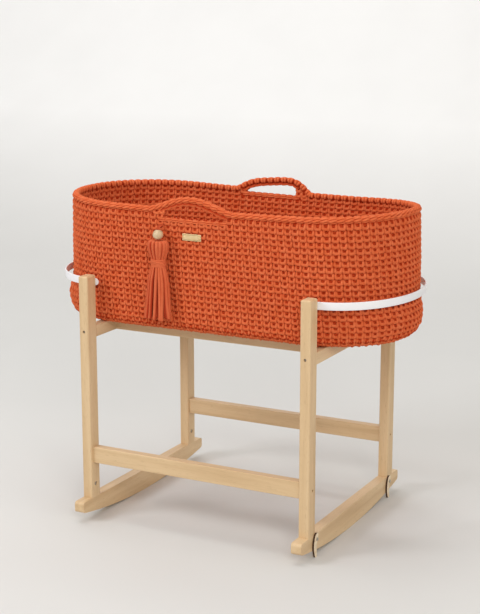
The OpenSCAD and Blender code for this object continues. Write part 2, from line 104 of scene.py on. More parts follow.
class Shape:
    """Points and faces gathered from parts, with a strand attribute: along, cosine and sine around, and a
    shade attribute that holds painted shade.
    """

    def __init__(self):
        self.points, self.strand, self.shade = [], [], []
        self.faces = {}
        self.count = 0

    def add(self, points, face_sets, strand=None, shade=1.0):
        points = np.asarray(points, float).reshape(-1, 3)
        self.points.append(points)
        n = len(points)
        if strand is None:
            strand = np.zeros((n, 3))
        self.strand.append(np.asarray(strand, float).reshape(-1, 3))
        self.shade.append(np.broadcast_to(np.asarray(shade, float).reshape(-1), (n,)))
        for faces in face_sets:
            faces = np.asarray(faces, int)
            self.faces.setdefault(faces.shape[1], []).append(faces + self.count)
        self.count += n

    def build(self, name, material, bend=None, smooth=True):
        points = np.concatenate(self.points)
        if bend is not None:
            points = bend(points)
        loops, starts, at = [], [], 0
        for size in sorted(self.faces):
            faces = np.concatenate(self.faces[size])
            loops.append(faces.ravel())
            starts.append(at + size * np.arange(len(faces)))
            at += faces.size
        mesh = bpy.data.meshes.new(name)
        mesh.vertices.add(len(points))
        mesh.vertices.foreach_set("co", points.astype(np.float32).ravel())
        mesh.loops.add(at)
        mesh.loops.foreach_set("vertex_index", np.concatenate(loops).astype(np.int32))
        starts = np.concatenate(starts).astype(np.int32)
        mesh.polygons.add(len(starts))
        mesh.polygons.foreach_set("loop_start", starts)
        mesh.update(calc_edges=True)
        mesh.validate()
        mesh.polygons.foreach_set("use_smooth", np.full(len(starts), smooth))
        strand = mesh.attributes.new("strand", "FLOAT_VECTOR", "POINT")
        strand.data.foreach_set("vector", np.concatenate(self.strand).astype(np.float32).ravel())
        shade = mesh.attributes.new("shade", "FLOAT", "POINT")
        shade.data.foreach_set("value", np.concatenate(self.shade).astype(np.float32))
        mesh.materials.append(material)
        obj = bpy.data.objects.new(name, mesh)
        bpy.context.scene.collection.objects.link(obj)
        return obj


def unit(v):
    return v / np.maximum(np.linalg.norm(v, axis=-1, keepdims=True), 1e-12)


def tubes(shape, path, outward, radius, sides, flat=1.0, shade=1.0):
    """Adds closed tubes along the paths (n, k, 3). radius is (k,) or (n, k), and flat scales it across."""
    n, k, _ = path.shape
    tangent = unit(np.gradient(path, axis=1))
    across = unit(np.cross(tangent, np.broadcast_to(outward, path.shape)))
    out = np.cross(across, tangent)
    angle = np.arange(sides) * 2 * math.pi / sides
    radius = np.broadcast_to(np.asarray(radius, float), (n, k))[:, :, None, None]
    ring = np.cos(angle)[:, None] * out[:, :, None, :] + flat * np.sin(angle)[:, None] * across[:, :, None, :]
    points = path[:, :, None, :] + radius * ring
    step = np.linalg.norm(np.diff(path, axis=1), axis=2)
    along = np.concatenate([np.zeros((n, 1)), np.cumsum(step, axis=1)], axis=1)
    along = along + rng.uniform(0, 1, (n, 1))
    strand = np.empty((n, k, sides, 3))
    strand[..., 0] = along[:, :, None]
    strand[..., 1] = np.cos(angle)
    strand[..., 2] = np.sin(angle)
    j = np.arange(sides)
    nxt = (j + 1) % sides
    r = np.arange(k - 1)[:, None] * sides
    quads = np.stack([r + j, r + nxt, r + sides + nxt, r + sides + j], axis=-1).reshape(-1, 4)
    base = (np.arange(n) * k * sides)[:, None, None]
    quads = (base + quads).reshape(-1, 4)
    caps = np.stack([j[::-1], (k - 1) * sides + j])
    caps = (base + caps).reshape(-1, sides)
    shade = np.broadcast_to(np.asarray(shade, float), (n, k))[:, :, None]
    shape.add(points, [quads, caps], strand, np.broadcast_to(shade, (n, k, sides)))


def curve_through(keys, count):
    """Smooth curve of count points through the key points (m, ...), Catmull-Rom."""
    keys = np.asarray(keys, float)
    last = len(keys) - 1
    t = np.linspace(0, last, count)
    i = np.minimum(t.astype(int), last - 1)
    f = (t - i).reshape((-1,) + (1,) * (keys.ndim - 1))
    a, b, c, d = (keys[np.clip(i + step, 0, last)] for step in (-1, 0, 1, 2))
    bend = 2 * a - 5 * b + 4 * c - d
    twist = 3 * b - a - 3 * c + d
    return 0.5 * (2 * b + (c - a) * f + bend * f ** 2 + twist * f ** 3)


def grid_faces(rows, columns, wrap_columns=False, wrap_rows=False):
    """Quads of a grid of points in row order."""
    r = np.arange(rows if wrap_rows else rows - 1)
    c = np.arange(columns if wrap_columns else columns - 1)
    r, c = np.meshgrid(r, c, indexing="ij")
    r2, c2 = (r + 1) % rows, (c + 1) % columns
    corners = [r * columns + c, r * columns + c2, r2 * columns + c2, r2 * columns + c]
    return np.stack(corners, axis=-1).reshape(-1, 4)


def end_caps(rows, columns):
    """One face over the first row of a grid of points and one over its last row."""
    first = np.arange(columns)
    return np.stack([first[::-1], (rows - 1) * columns + first])


# ---- materials


class Nodes:
    """A material's node tree, with short calls for the nodes used here."""

    def __init__(self, name):
        self.material = bpy.data.materials.new(name)
        self.material.use_nodes = True
        self.tree = self.material.node_tree
        self.shader = self.tree.nodes["Principled BSDF"]

    def node(self, kind, inputs=(), **settings):
        node = self.tree.nodes.new(kind)
        for key, value in settings.items():
            setattr(node, key, value)
        for key, value in dict(inputs).items():
            self.feed(node.inputs[key], value)
        return node

    def feed(self, socket, value):
        if isinstance(value, bpy.types.NodeSocket):
            self.tree.links.new(value, socket)
        else:
            socket.default_value = value

    def math(self, operation, a, b=0.0):
        return self.node("ShaderNodeMath", {0: a, 1: b}, operation=operation).outputs[0]

    def noise(self, vector, scale, detail=2.0, rough=0.5, distortion=0.0):
        node = self.node("ShaderNodeTexNoise", {
            "Vector": vector, "Scale": scale, "Detail": detail, "Roughness": rough, "Distortion": distortion})
        return node.outputs["Fac"]

    def stretch(self, vector, scale, location=(0, 0, 0)):
        node = self.node("ShaderNodeMapping", {"Vector": vector, "Scale": scale, "Location": location})
        return node.outputs[0]

    def ramp(self, value, stops):
        node = self.node("ShaderNodeValToRGB", {"Fac": value})
        elements = node.color_ramp.elements
        while len(elements) < len(stops):
            elements.new(0.5)
        for element, (place, colour) in zip(elements, stops):
            element.position = place
            element.color = (*colour, 1)
        return node.outputs["Color"]

    def mix(self, share, a, b):
        node = self.node("ShaderNodeMix", data_type="RGBA")
        for socket, value in ((node.inputs[0], share), (node.inputs[6], a), (node.inputs[7], b)):
            self.feed(socket, (*value, 1) if isinstance(value, tuple) else value)
        return node.outputs[2]

    def span(self, value, low, high, to_low=0.0, to_high=1.0):
        return self.node("ShaderNodeMapRange", {
            "Value": value, "From Min": low, "From Max": high,
            "To Min": to_low, "To Max": to_high}).outputs[0]

    def place(self):
        return self.node("ShaderNodeTexCoord").outputs["Object"]

    def bump(self, height, distance, strength=1.0):
        bump = self.node("ShaderNodeBump", {"Height": height, "Distance": distance, "Strength": strength})
        self.feed(self.shader.inputs["Normal"], bump.outputs[0])

    def set(self, **values):
        for key, value in values.items():
            self.feed(self.shader.inputs[key.replace("_", " ")], value)
        return self.material


def wood_material(name, grain, seed, tone=1.0):
    """Pale beech with its grain along one axis: fine pores, short flecks and soft rings."""
    nodes = Nodes(name)
    place = nodes.stretch(nodes.place(), (1, 1, 1), (seed * 0.37, seed * 0.21, seed * 0.13))

    def along_grain(share):
        return nodes.stretch(place, [share if axis == grain else 1.0 for axis in "XYZ"])

    def toned(*colour):
        return tuple(c * tone for c in colour)

    rings = nodes.noise(along_grain(0.06), 38.0, 3.0, 0.55, 0.4)
    pores = nodes.noise(along_grain(0.02), 900.0, 2.0)
    flecks = nodes.noise(along_grain(0.16), 420.0, 1.0)
    patches = nodes.noise(place, 7.0, 2.0)
    base = nodes.ramp(rings, [(0.30, toned(0.560, 0.370, 0.190)), (0.52, toned(0.665, 0.470, 0.262)),
                              (0.72, toned(0.720, 0.530, 0.315))])
    flecked = nodes.mix(nodes.span(flecks, 0.60, 0.74, 0.0, 0.35), base, toned(0.47, 0.30, 0.155))
    pored = nodes.mix(nodes.span(pores, 0.55, 0.75, 0.0, 0.25), flecked, toned(0.42, 0.27, 0.14))
    colour = nodes.mix(nodes.span(patches, 0.3, 0.7, 0.0, 0.22), pored, toned(0.74, 0.55, 0.335))
    nodes.bump(nodes.math("ADD", nodes.math("MULTIPLY", pores, 0.5), rings), 0.00025, 0.5)
    return nodes.set(Base_Color=colour, Roughness=nodes.span(rings, 0.2, 0.8, 0.42, 0.58),
                     Specular_IOR_Level=0.35, Coat_Weight=0.12, Coat_Roughness=0.35)


def cord_material(name, dark, mid, light, braid=1.0):
    """Cotton cord: a fine braid that follows each strand, fuzz, and painted shade that darkens it into the
    gaps and on the sides of each strand.
    """
    nodes = Nodes(name)
    strand = nodes.node("ShaderNodeAttribute", attribute_name="strand").outputs["Vector"]
    parts = nodes.node("ShaderNodeSeparateXYZ", {0: strand}).outputs
    shade = nodes.node("ShaderNodeAttribute", attribute_name="shade").outputs["Fac"]
    turn = nodes.math("ARCTAN2", parts[2], parts[1])
    lengthwise = nodes.math("MULTIPLY", parts[0], 1150.0)
    left = nodes.math("SINE", nodes.math("ADD", nodes.math("MULTIPLY", turn, 4.0), lengthwise))
    right = nodes.math("SINE", nodes.math("SUBTRACT", nodes.math("MULTIPLY", turn, 4.0), lengthwise))
    weave = nodes.math("MULTIPLY", left, right)
    place = nodes.place()
    fuzz = nodes.noise(place, 1400.0, 3.0, 0.7)
    soft = nodes.noise(place, 55.0, 3.0, 0.6)
    tone = nodes.math("ADD", nodes.math("MULTIPLY", soft, 0.42), nodes.math("MULTIPLY", fuzz, 0.30))
    tone = nodes.math("ADD", tone, nodes.math("MULTIPLY", weave, 0.05 * braid))
    between = tuple((m + l) / 2 for m, l in zip(mid, light))
    lit = nodes.ramp(tone, [(0.22, mid), (0.50, between), (0.62, light)])
    # Painted shade on the sides of each strand, darker where the strand turns away from the outside
    painted_side_shade = nodes.span(parts[1], -0.05, 0.80, 0.25, 1.0)
    # Painted shade: the shade attribute times the side shade mixes from the shaded colour to the lit tone
    colour = nodes.mix(nodes.math("MULTIPLY", shade, painted_side_shade), dark, lit)
    height = nodes.math("ADD", nodes.math("MULTIPLY", weave, 0.5 * braid), nodes.math("MULTIPLY", fuzz, 1.1))
    nodes.bump(height, 0.0005, 0.55)
    return nodes.set(Base_Color=colour, Roughness=0.88, Specular_IOR_Level=0.10, Sheen_Weight=0.12,
                     Sheen_Roughness=0.45, Sheen_Tint=(1.0, 0.42, 0.20, 1))


def band_material():
    """Smooth white lacquer with faint brush marks and faint patches."""
    nodes = Nodes("white_band")
    place = nodes.place()
    marks = nodes.noise(nodes.stretch(place, (0.3, 0.3, 4.0)), 160.0, 3.0)
    patches = nodes.noise(place, 9.0, 2.0)
    colour = nodes.mix(nodes.span(patches, 0.3, 0.7), (0.80, 0.79, 0.81), (0.88, 0.87, 0.88))
    nodes.bump(marks, 0.0002, 0.3)
    return nodes.set(Base_Color=colour, Roughness=nodes.span(marks, 0.3, 0.7, 0.34, 0.5), Coat_Weight=0.2)


def steel_material(name, colour, roughness):
    """Plated steel, dulled unevenly."""
    nodes = Nodes(name)
    place = nodes.place()
    dull = nodes.noise(place, 600.0, 3.0)
    turned = nodes.noise(nodes.stretch(place, (1, 1, 6.0)), 900.0, 2.0)
    tint = nodes.mix(nodes.span(dull, 0.35, 0.7, 0.0, 0.6), colour, tuple(c * 0.55 for c in colour))
    nodes.bump(turned, 0.0001, 0.4)
    rough = nodes.span(dull, 0.3, 0.7, roughness, roughness + 0.2)
    return nodes.set(Base_Color=tint, Metallic=1.0, Roughness=rough)


def plywood_material(name, burnt_edge):
    """Birch plywood face; the cut edge is scorched dark where burnt_edge is set."""
    nodes = Nodes(name)
    coordinates = nodes.node("ShaderNodeTexCoord")
    place = coordinates.outputs["Object"]
    figure = nodes.noise(nodes.stretch(place, (1.0, 0.25, 1.0)), 130.0, 4.0, 0.6, 0.6)
    face = nodes.ramp(figure, [(0.30, (0.66, 0.50, 0.32)), (0.55, (0.80, 0.66, 0.47)),
                               (0.75, (0.86, 0.74, 0.56))])
    if burnt_edge:
        sideways = nodes.node("ShaderNodeSeparateXYZ", {0: coordinates.outputs["Normal"]}).outputs[0]
        edge = nodes.span(nodes.math("ABSOLUTE", sideways), 0.75, 0.35)
        char = nodes.mix(nodes.span(figure, 0.3, 0.7), (0.035, 0.016, 0.007), (0.10, 0.045, 0.02))
        face = nodes.mix(edge, face, char)
    nodes.bump(figure, 0.0002, 0.3)
    return nodes.set(Base_Color=face, Roughness=0.6, Specular_IOR_Level=0.3)


def bead_material():
    """Turned pale wood bead with fine rings across its bore."""
    nodes = Nodes("turned_bead")
    place = nodes.place()
    rings = nodes.noise(nodes.stretch(place, (1.0, 1.0, 0.2)), 260.0, 3.0, 0.55, 0.5)
    pores = nodes.noise(nodes.stretch(place, (1.0, 1.0, 0.08)), 1500.0, 2.0)
    colour = nodes.ramp(rings, [(0.30, (0.46, 0.32, 0.17)), (0.52, (0.61, 0.45, 0.27)),
                                (0.75, (0.69, 0.54, 0.35))])
    colour = nodes.mix(nodes.span(pores, 0.56, 0.72, 0.0, 0.4), colour, (0.40, 0.26, 0.13))
    nodes.bump(pores, 0.0002, 0.4)
    return nodes.set(Base_Color=colour, Roughness=0.45, Coat_Weight=0.15, Coat_Roughness=0.3)


def brass_material():
    """Satin brass, brushed lengthwise, darker in its stamped border."""
    nodes = Nodes("label_brass")
    place = nodes.place()
    brushed = nodes.noise(nodes.stretch(place, (0.05, 1.0, 1.0)), 2200.0, 2.0)
    stain = nodes.noise(place, 120.0, 3.0)
    shade = nodes.node("ShaderNodeAttribute", attribute_name="shade").outputs["Fac"]
    colour = nodes.mix(nodes.span(stain, 0.35, 0.7), (0.90, 0.70, 0.40), (0.78, 0.56, 0.28))
    colour = nodes.mix(shade, (0.34, 0.22, 0.08), colour)
    nodes.bump(brushed, 0.0001, 0.5)
    return nodes.set(Base_Color=colour, Metallic=0.75, Roughness=nodes.span(brushed, 0.3, 0.7, 0.36, 0.52))


def cotton_material():
    """Off-white plain-woven cotton: threads over and under, slubs and soft creases."""
    nodes = Nodes("mattress_cover")
    place = nodes.place()
    parts = nodes.node("ShaderNodeSeparateXYZ", {0: place}).outputs
    warp = nodes.math("SINE", nodes.math("MULTIPLY", parts[0], 4200.0))
    weft = nodes.math("SINE", nodes.math("MULTIPLY", parts[1], 4200.0))
    weave = nodes.math("MULTIPLY", warp, weft)
    slubs = nodes.noise(nodes.stretch(place, (1.0, 0.08, 0.3)), 700.0, 2.0)
    creases = nodes.noise(place, 16.0, 3.0, 0.5, 0.8)
    colour = nodes.ramp(slubs, [(0.3, (0.70, 0.67, 0.60)), (0.5, (0.80, 0.78, 0.72)),
                                (0.7, (0.86, 0.84, 0.79))])
    soft = nodes.math("ADD", slubs, nodes.math("MULTIPLY", creases, 1.5))
    height = nodes.math("ADD", nodes.math("MULTIPLY", weave, 0.12), soft)
    nodes.bump(height, 0.0006, 0.5)
    return nodes.set(Base_Color=colour, Roughness=0.9, Sheen_Weight=0.3, Specular_IOR_Level=0.2)


def studio_material(name, floor, wall):
    """Matt paper, painted paler where it climbs the wall: painted light on the wall and painted shade on the
    floor of one paper.
    """
    nodes = Nodes(name)
    place = nodes.place()
    height = nodes.node("ShaderNodeSeparateXYZ", {0: place}).outputs[2]
    mottle = nodes.noise(place, 3.0, 2.0)
    # Painted light and shade: the same paper darker on the floor and paler up the wall
    paper = nodes.mix(nodes.span(height, 0.03, 0.55), floor, wall)
    shown = nodes.mix(nodes.span(mottle, 0.3, 0.7, 0.0, 0.06), paper, tuple(c * 0.8 for c in floor))
    return nodes.set(Base_Color=shown, Roughness=0.85, Specular_IOR_Level=0.15)


# The first cord colour here, and the first colour of the tassel cord, is a painted shade colour for the gaps
# and the sides of strands
ORANGE_SHADED = (0.42, 0.026, 0.002)
ORANGE_MID = (0.65, 0.110, 0.028)
ORANGE_LIGHT = (0.90, 0.285, 0.13)
crochet = cord_material("crochet_cord", ORANGE_SHADED, ORANGE_MID, ORANGE_LIGHT)
tassel_cord = cord_material(
    "tassel_cord", (0.36, 0.014, 0.002), (0.60, 0.115, 0.040), (0.78, 0.215, 0.100), braid=0.4)


def ride(obj, body):
    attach(obj, body)
    return obj


# ---- basket surface


def oval(s, radius):
    """Plan centre and outward direction at the distance s round a long oval, from its front's middle."""
    arc = math.pi * radius
    right, back = BASKET_C, BASKET_C + arc
    left, front = 3 * BASKET_C + arc, 3 * BASKET_C + 2 * arc
    right_turn = (s - right) / radius - math.pi / 2
    left_turn = (s - left) / radius + math.pi / 2
    where = [s < right, s < back, s < left, s < front]
    centre_x = np.select(where, [s, BASKET_C, BASKET_C - (s - back), -BASKET_C], -BASKET_C + (s - front))
    out_x = np.select(where, [0, np.cos(right_turn), 0, np.cos(left_turn)], 0)
    out_y = np.select(where, [-1, np.sin(right_turn), 1, np.sin(left_turn)], -1)
    return centre_x, out_x, out_y


def oval_point(share, radius, z):
    """Point at a share of the way round a flat oval of that end radius."""
    centre_x, out_x, out_y = oval(np.mod(share, 1) * (4 * BASKET_C + 2 * math.pi * radius), radius)
    return np.stack([centre_x + radius * out_x, radius * out_y, z + 0 * centre_x], axis=-1)


def round_point(u, radius, z):
    """Point at the distance u round the wall, at a plan radius about the wall's own centres."""
    centre_x, out_x, out_y = oval(np.mod(u, PERIMETER), BASKET_R)
    return np.stack([centre_x + radius * out_x, radius * out_y, z + 0 * u], axis=-1)


def back_u(x):
    """Distance round the wall of a place on the back wall."""
    return 2 * BASKET_C + math.pi * BASKET_R - x


def wall_point(u, down, depth):
    """Outer wall point: u round it, down its profile from the rim, depth out from the surface."""
    straight = RIM_Z - BASKET_Z - BOTTOM_R
    turn = np.clip((down - straight) / BOTTOM_R, 0, math.pi / 2)
    past = np.maximum(down - straight - BOTTOM_R * math.pi / 2, 0)
    inset = BOTTOM_R * (1 - np.cos(turn)) + past
    z = RIM_Z - np.minimum(down, straight) - BOTTOM_R * np.sin(turn)
    return round_point(u, BASKET_R - inset + depth * np.cos(turn), z - depth * np.sin(turn))


def inner_point(u, down, depth):
    """Inner wall point: depth is into the basket from the wall's inner surface."""
    return round_point(u, BASKET_R - WALL_T - depth, RIM_Z - down)


# Heights where the soft wall is fullest, where the rim starts to pull in, and where droop and sway begin
BULGE_Z, BULGE_SPREAD = 0.480, 0.027
PULL_Z, PULL_H = 0.58, 0.11
DROOP_Z, DROOP_H = 0.512, 0.035
SWAY_Z = 0.56


def settle(p):
    """The slump of a soft basket: fuller and lower at the ends, and a rim that isn't quite level."""
    p = p.copy()
    x, y, z = p.T
    full = np.exp(-((z - BULGE_Z) / BULGE_SPREAD) ** 2)
    left_end = np.clip((-x - BASKET_C) / BASKET_R, 0, 1) ** 2
    right_end = np.clip((x - BASKET_C) / BASKET_R, 0, 1) ** 2
    p[:, 0] += full * (8.0 * MM * right_end - 17.0 * MM * left_end)
    p[:, 0] -= 3.5 * MM * (right_end - left_end) * np.clip((z - PULL_Z) / PULL_H, 0, 1)
    low = np.clip((DROOP_Z - z) / DROOP_H, 0, 1)
    left_droop = 8.0 * MM * np.clip((-x - 0.29) / 0.08, 0, 1)
    right_droop = 1.5 * MM * np.clip((x - 0.30) / 0.07, 0, 1)
    p[:, 2] -= low * (left_droop + right_droop)
    up = np.clip((z - SWAY_Z) / (RIM_TOP - SWAY_Z), 0, 1.3) ** 2
    ends = np.clip(np.abs(x) / (BASKET_C + BASKET_R), 0, 1) ** 2
    back = np.clip(y / BASKET_R, 0, 1)
    sway = -2.5 * MM + 8.5 * MM * ends
    sway = sway + back * np.where(x > 0, -6.0 * MM, 3.5 * MM) * np.clip(np.abs(x) / BASKET_C, 0, 1)
    p[:, 2] += up * sway
    return p


class Handle:
    """An arched bar in a long wall: its middle and half length, rise, shape, and its finger slot."""

    def __init__(self, node, side, peak_share, fullness, lean, slot_x, slot_l, slot_drop):
        low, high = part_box(node)
        self.side = side
        self.x, self.half = (low.x + high.x) / 2, (high.x - low.x) / 2
        self.rise = (high.z - RIM_TOP) / peak_share
        self.fullness, self.lean = fullness, lean
        self.slot_x, self.slot_half = slot_x, slot_l / 2
        self.foot = RIM_TOP - slot_drop

    def height(self, x):
        t = np.clip((x - self.x) / self.half, -1, 1)
        bow = np.maximum(np.cos(math.pi / 2 * np.abs(t) ** self.fullness), 0) ** 1.35
        return self.rise * bow * (1 + self.lean * t)


FRONT = Handle("front_handle", -1, 1.0, 1.0, 0.0, -20 * MM, 150 * MM, 22.5 * MM)
BACK = Handle("back_handle", 1, 1.117, 2.2, 0.375, -16.5 * MM, 131 * MM, 12 * MM)
HANDLES = (FRONT, BACK)


def in_slot(point, margin, handle):
    """Where a wall point lies over or under a handle's finger slot, by its place along the basket."""
    over = np.abs(point[..., 0] - handle.slot_x) < handle.slot_half + margin
    return over & (point[..., 1] * handle.side > 0)


def handle_rise(point):
    """How far the rim rises over a point on the handles."""
    return sum(np.where(point[..., 1] * h.side > 0, h.height(point[..., 0]), 0) for h in HANDLES)


# A stitch has two upright arms, and a plump belly between and below them. Each row of keys holds
# across in stitch widths, up in row heights, out in millimetres and radius in millimetres.
RIGHT_ARM_KEYS = np.array([
    (0.35, 0.66, -8.2, 2.0), (0.38, 0.42, -4.4, 2.7), (0.38, 0.12, -2.8, 3.0),
    (0.34, -0.16, -2.9, 3.3), (0.26, -0.38, -4.4, 3.2), (0.20, -0.56, -8.0, 2.3)])
LEFT_ARM_KEYS = np.array([
    (-0.33, 0.66, -8.2, 2.0), (-0.35, 0.42, -5.2, 2.5), (-0.33, 0.12, -3.8, 2.8),
    (-0.26, -0.16, -3.5, 3.3), (-0.17, -0.36, -4.6, 3.2), (-0.10, -0.54, -8.0, 2.3)])
BELLY_KEYS = np.array([
    (-0.54, -0.04, -5.4, 3.0), (-0.32, -0.15, -4.4, 3.4), (0.0, -0.25, -3.9, 3.6),
    (0.32, -0.18, -4.3, 3.4), (0.54, -0.06, -5.4, 3.0)])


def stitch_parts(count):
    """The three strands of a stitch, with that many points each, and how many sides each strand has."""
    return ((curve_through(RIGHT_ARM_KEYS, count), 6), (curve_through(LEFT_ARM_KEYS, count), 6),
            (curve_through(BELLY_KEYS, count), 7))


def stitch_rows(name, first, last, count, point_at, top, lift, detail):
    """Rows of stitches on one face of the wall, counted down from the rim."""
    shape = Shape()
    width = PERIMETER / count
    for row in range(first, last):
        u0 = np.arange(count) * width + row * ROW_LEAN + rng.normal(0, 0.45 * MM, count)
        down0 = (row + 0.5) * ROW_H - top + rng.normal(0, 0.28 * MM, count)
        middle = point_at(u0, down0, 0)
        keep = ~(in_slot(middle, -3 * MM, FRONT) & (down0 < 0.8 * ROW_H))
        keep &= ~(in_slot(middle, 5 * MM, BACK) & (down0 < 0.3 * ROW_H))
        size = rng.normal(1, 0.04, (count, 1))
        lean = rng.normal(0, 0.05, (count, 1))
        for keys, sides in stitch_parts(detail):
            u = u0[:, None] + (keys[:, 0] * size + lean * keys[:, 1]) * width
            down = down0[:, None] - keys[:, 1] * ROW_H
            depth = keys[:, 2] * MM + lift + rng.normal(0, 0.35 * MM, (count, 1))
            path = point_at(u, down, depth)[keep]
            outward = unit(point_at(u, down, depth + 2 * MM) - point_at(u, down, depth))[keep]
            # Painted shade: strands set deeper into the wall are darker, times a random tone
            tone = np.clip((keys[:, 2] + 8.6) / 5.4, 0, 1) * rng.normal(0.95, 0.07, (keep.sum(), 1))
            radius = keys[:, 3] * MM * rng.normal(1, 0.03, (keep.sum(), 1))
            tubes(shape, path, outward, radius, sides + detail - 7, 1.0, np.clip(tone, 0, 1))
    return ride(shape.build(name, crochet, settle), "basket")


def shared_rows(total, pieces):
    """First and last row of each piece, when the rows are shared out among that many."""
    step = -(-total // pieces)
    return [(first, min(first + step, total)) for first in range(0, total, step)]


def make_outer_stitches():
    for index, (first, last) in enumerate(shared_rows(int(PROFILE_L / ROW_H + 0.5), 4)):
        stitch_rows(f"wall_stitches_{index + 1}", first, last, STITCHES, wall_point, 0, 0, 7)
    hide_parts("basket_wall")


def make_inner_stitches():
    total = int((RIM_Z + INNER_RAISE - floor_high.z) / ROW_H)
    for index, (first, last) in enumerate(shared_rows(total, 3)):
        stitch_rows(f"inner_stitches_{index + 1}", first, last, INNER_STITCHES, inner_point,
                    INNER_RAISE, INNER_LIFT, 6)


def make_backing():
    """Thin web inside the wall, painted in shade to stand for the dark depths behind the stitches, so that no
    light comes through them.
    """
    shape = Shape()
    columns = 4 * STITCHES
    u = np.arange(columns) * PERIMETER / columns
    middle = wall_point(u, 0 * u, 0)
    top = -5 * MM - handle_rise(middle)
    for handle in HANDLES:
        top = np.where(in_slot(middle, 0, handle), RIM_Z - handle.foot + 4 * MM, top)
    loop = []
    for depth, shares in ((-5.6 * MM, np.linspace(0, 1, 40)), (-7.4 * MM, np.linspace(1, 0, 40))):
        for share in shares:
            loop.append(wall_point(u, top + share * (PROFILE_L + 2 * MM - top), depth))
    # Painted shade: the web is shaded to 0.25, as the depths seen through the stitches
    shape.add(np.array(loop), [grid_faces(len(loop), columns, True, True)[:, ::-1]], shade=0.25)
    ride(shape.build("wall_backing_painted_shade", crochet, settle), "basket")


def make_handle_ends():
    """Stitches that fill each handle's ends, between the top row of the wall and the rising rim."""
    shape = Shape()
    for inside in (False, True):
        point = inner_point if inside else wall_point
        for handle in HANDLES:
            ends = ((handle.x - handle.half, handle.slot_x - handle.slot_half),
                    (handle.slot_x + handle.slot_half, handle.x + handle.half))
            for low, high in ends:
                for x in np.arange(low + 5 * MM, high + 5 * MM, 0.8 * STITCH_W):
                    u0 = x if handle.side < 0 else back_u(x)
                    rise = float(handle.height(x))
                    levels = max(1, round(rise / ROW_H))
                    tall = rise / levels
                    for level in range(levels if rise > 3 * MM else 0):
                        for keys, sides in stitch_parts(7):
                            u = u0 + keys[None, :, 0] * STITCH_W * 0.85
                            down = -(level + 0.5) * tall - keys[None, :, 1] * (tall + 1 * MM)
                            depth = (keys[None, :, 2] + 0.4) * MM
                            path = point(u, down, depth)
                            outward = unit(point(u, down, depth + 2 * MM) - path)
                            # Painted shade: strands set deeper into the wall are darker
                            tone = np.clip((keys[:, 2] + 7.8) / 3.6, 0, 1)
                            tubes(shape, path, outward, keys[:, 3] * MM, sides, 1.0, tone)
    ride(shape.build("handle_end_stitches", crochet, settle), "basket")


make_outer_stitches()
make_inner_stitches()
make_backing()
make_handle_ends()

# ---- rim plait and handles


class Line:
    """A path with an outward and an upward direction, sampled by distance along it."""

    def __init__(self, points, outward):
        step = np.linalg.norm(np.diff(points, axis=0), axis=1)
        self.at = np.concatenate([[0], np.cumsum(step)])
        self.length = self.at[-1]
        tangent = unit(np.gradient(points, axis=0))
        self.points = points
        self.outward = unit(outward - (outward * tangent).sum(1, keepdims=True) * tangent)
        self.upward = np.cross(self.outward, tangent)

    def sample(self, distance):
        return [np.stack([np.interp(distance, self.at, field[:, i]) for i in range(3)], axis=-1)
                for field in (self.points, self.outward, self.upward)]

    def round_it(self, distance, angle, radius):
        """Points at an angle and radius about the path, angle 0 outward and a quarter turn upward."""
        point, outward, upward = self.sample(distance)
        direction = np.cos(angle)[..., None] * outward + np.sin(angle)[..., None] * upward
        return point + np.asarray(radius)[..., None] * direction, direction


# How far each strand of an edge reaches to either side of its middle, in stitch widths
STRAND_REACH = 0.66


def slanted_row(shape, line, start, end, turn, core_r, radius, slant, dip_share=1.0):
    """A row of overlapping strands, each rising along the line and dipping into it at both ends."""
    t = np.linspace(-1, 1, 8)
    count = max(1, round((end - start) / STITCH_W))
    pitch = (end - start) / count
    middle = start + (np.arange(count) + 0.5) * pitch + rng.normal(0, 0.35 * MM, count)
    distance = middle[:, None] + STRAND_REACH * t * pitch
    side = slant * np.sin(t * math.pi / 2) * rng.normal(1, 0.10, (count, 1))
    dip = -3.0 * MM * np.abs(t) ** 2.5 * dip_share
    path, outward = line.round_it(distance, turn + side / core_r, core_r + dip + 0 * distance)
    # Painted shade: each strand darkens towards its ends, where it dips into the line, times a random tone
    tone = (1 - 0.7 * np.abs(t) ** 3) * rng.normal(0.96, 0.03, (count, 1))
    thick = radius * (1 - 0.42 * np.abs(t) ** 3) * rng.normal(1, 0.03, (count, 1))
    tubes(shape, path, outward, thick, 7, 1.0, np.clip(tone, 0, 1))


def core_cord(shape, line, start, end, count, radius, sides, drop=0.0):
    """Plain cord behind the strands, along the line or a drop below it, painted in shade (0.3) where it shows
    between them.
    """
    turn = np.full(count, -math.pi / 2 if drop else 0.0)
    path, outward = line.round_it(np.linspace(start, end, count), turn, np.full(count, drop))
    tubes(shape, path[None], outward[None], radius, sides, 1.0, 0.3)


RIM_CORE_R = 4.9 * MM
RIM_MIDDLE = RIM_TOP - 7.6 * MM
RIM_IN = WALL_T / 2 + 1.1 * MM
# Turn about the rim's middle, strand radius and slant of each row
RIM_ROWS = [(math.radians(turn), radius * MM, slant * MM) for turn, radius, slant in (
    (-60, 2.3, 1.2), (-4, 2.8, 1.8), (52, 2.5, 1.2), (96, 2.9, 0.6))]


